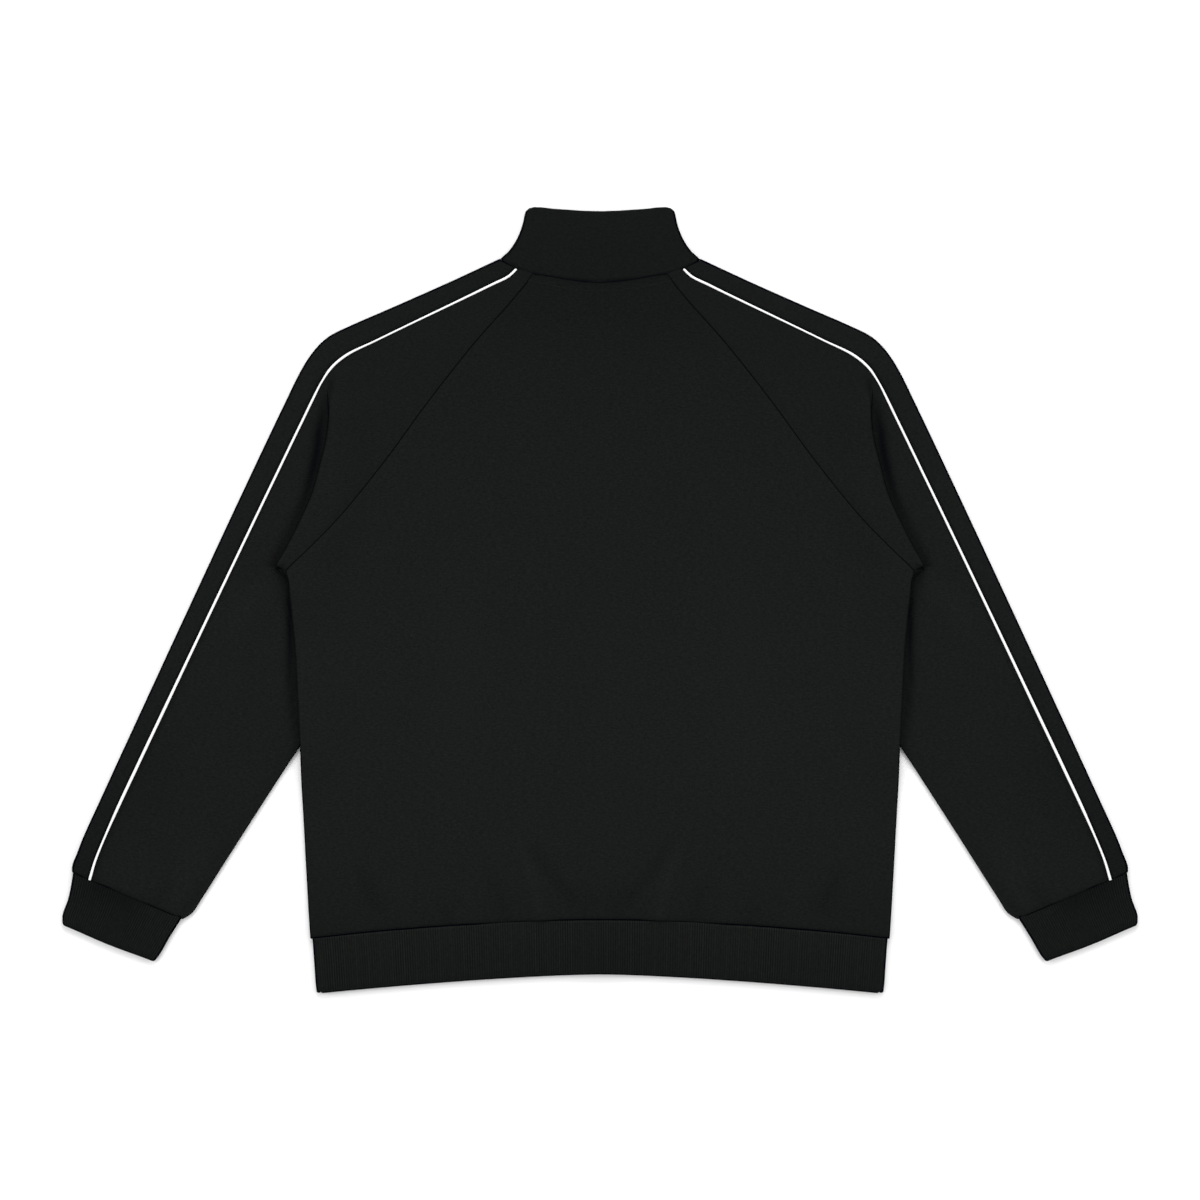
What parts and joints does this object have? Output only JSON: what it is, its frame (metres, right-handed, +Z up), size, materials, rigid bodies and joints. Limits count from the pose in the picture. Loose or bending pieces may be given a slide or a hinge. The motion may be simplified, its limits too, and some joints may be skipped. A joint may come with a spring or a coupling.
{
  "type": "track jacket",
  "caption": "Near-black fleece track jacket with raglan sleeves, a stand collar, white piping down the arms and rib hem and cuffs, laid flat with its back up.",
  "frame": {"origin": "centre of the laid-out jacket's outline, on the surface it lies on", "axes": "+X towards the wearer's right sleeve, +Y from the hem towards the collar, +Z up, out of the jacket's back, with the front and its zip underneath"},
  "size_m": [1.0332, 0.7535, 0.0138],
  "materials": {
    "fleece": "near-black cotton-rich fleece, fine smooth jersey face, matt",
    "collar_knit": "near-black fine close knit, doubled, matt",
    "rib": "near-black one-by-one rib knit, doubled, matt",
    "piping": "white woven piping",
    "zip_tape": "black woven zip tape with moulded teeth",
    "zip_metal": "black enamelled zip hardware, satin"
  },
  "bodies": {
    "jacket": {"back": "fleece", "collar": "collar_knit", "cuff_left": "rib", "cuff_right": "rib", "front_left": "fleece", "front_right": "fleece", "hem_band": "rib", "piping_back_left": "piping", "piping_back_right": "piping", "piping_front_left": "piping", "piping_front_right": "piping", "sleeve_back_left": "fleece", "sleeve_back_right": "fleece", "sleeve_front_left": "fleece", "sleeve_front_right": "fleece", "sleeve_stripe_left": "fleece", "sleeve_stripe_right": "fleece", "zip_box": "zip_metal", "zip_slider": "zip_metal", "zip_tape_left": "zip_tape", "zip_tape_right": "zip_tape"},
    "pull": {"zip_pull": "zip_metal"}
  },
  "joints": [
    {"name": "pull_hinge", "type": "hinge", "parent": "jacket", "child": "pull", "pos_m": [0, 0.327, 0.00205], "axis": [1, 0, 0], "range_deg": [-3, 160]}
  ]
}
